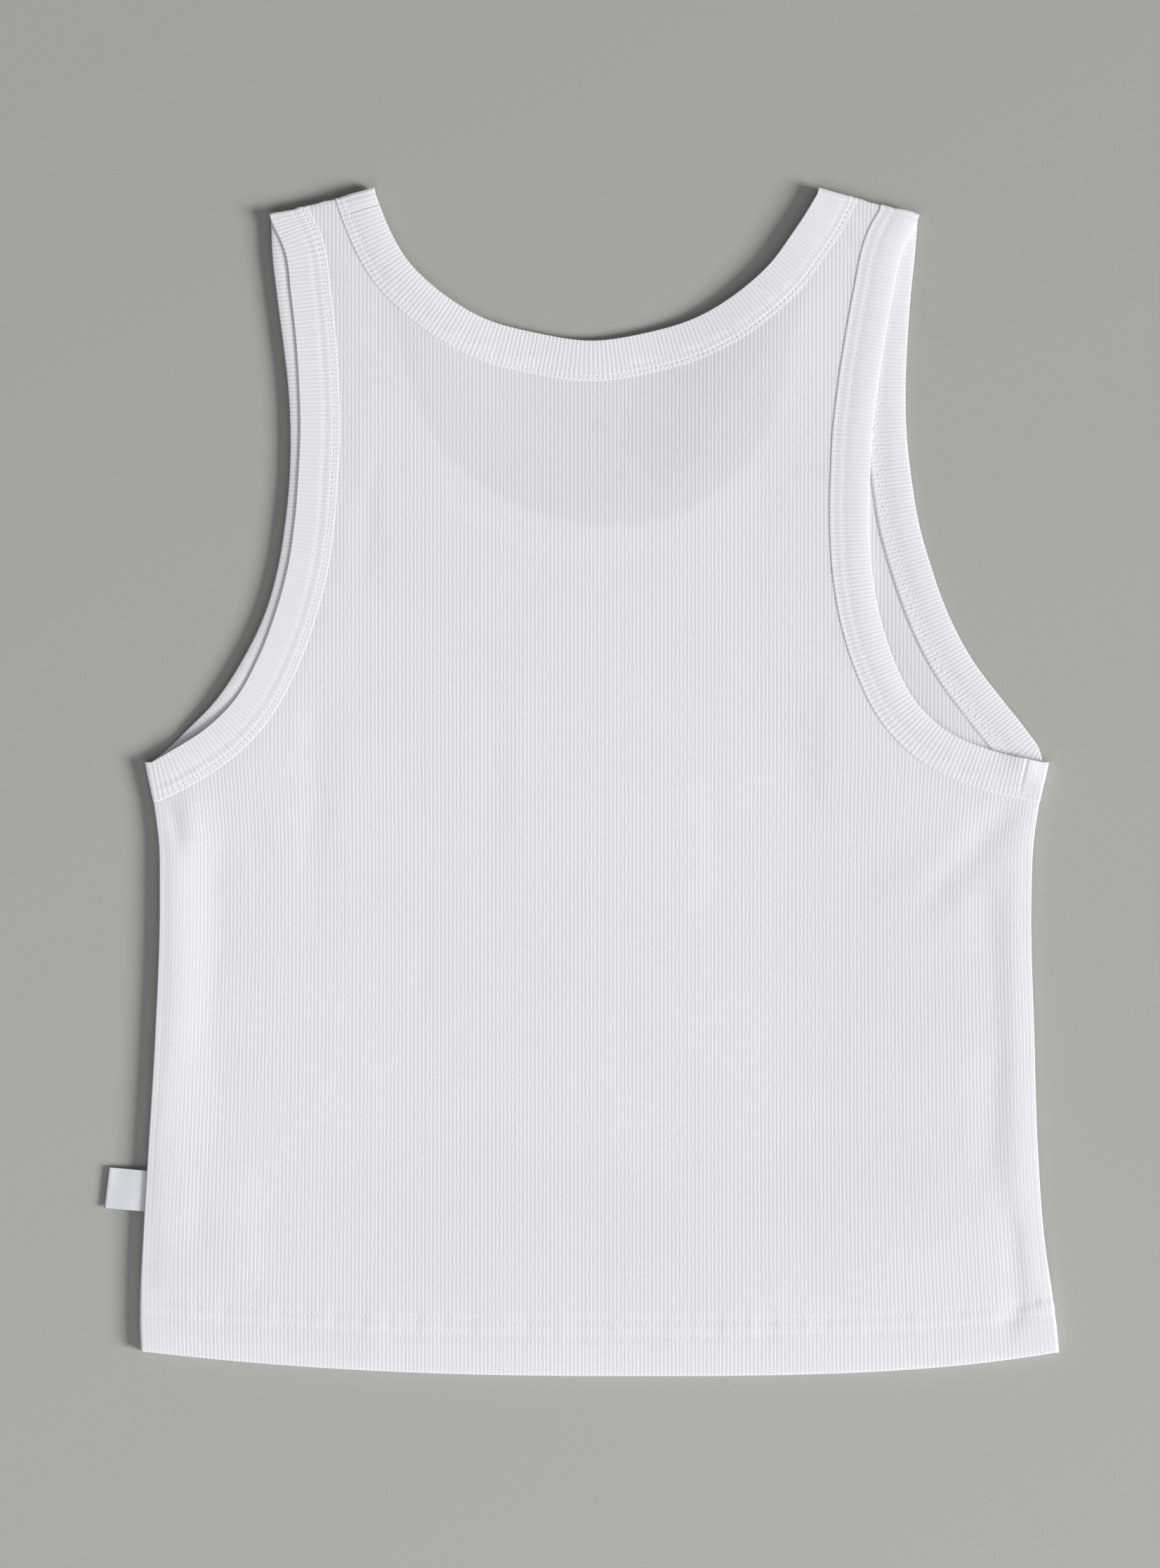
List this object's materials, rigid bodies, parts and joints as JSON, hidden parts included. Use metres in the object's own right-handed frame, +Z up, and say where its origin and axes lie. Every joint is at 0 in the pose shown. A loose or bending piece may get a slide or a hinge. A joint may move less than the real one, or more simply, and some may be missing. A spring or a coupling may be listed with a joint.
{
  "type": "tank top",
  "caption": "Cropped rib-knit tank top lying flat, back side up, with bound neck and armholes, a turned-up hem and a blank side tab.",
  "frame": {"origin": "on the flat underside of the front panel, on the centre line, half way between the hem and the shoulders", "axes": "+Y from the hem to the neck, +Z up off the surface the garment lies on, +X to the right as it lies with its back side up"},
  "size_m": [0.423, 0.5288, 0.0075],
  "materials": {
    "rib": "soft matt rib knit, white",
    "binding": "soft matt rib knit, white, folded strip",
    "satin": "white woven satin, slightly shiny"
  },
  "bodies": {
    "root": {"front_panel": "rib", "back_panel": "rib", "neck_binding": "binding", "arm_binding_left": "binding", "arm_binding_right": "binding", "side_label": "satin"}
  },
  "joints": []
}
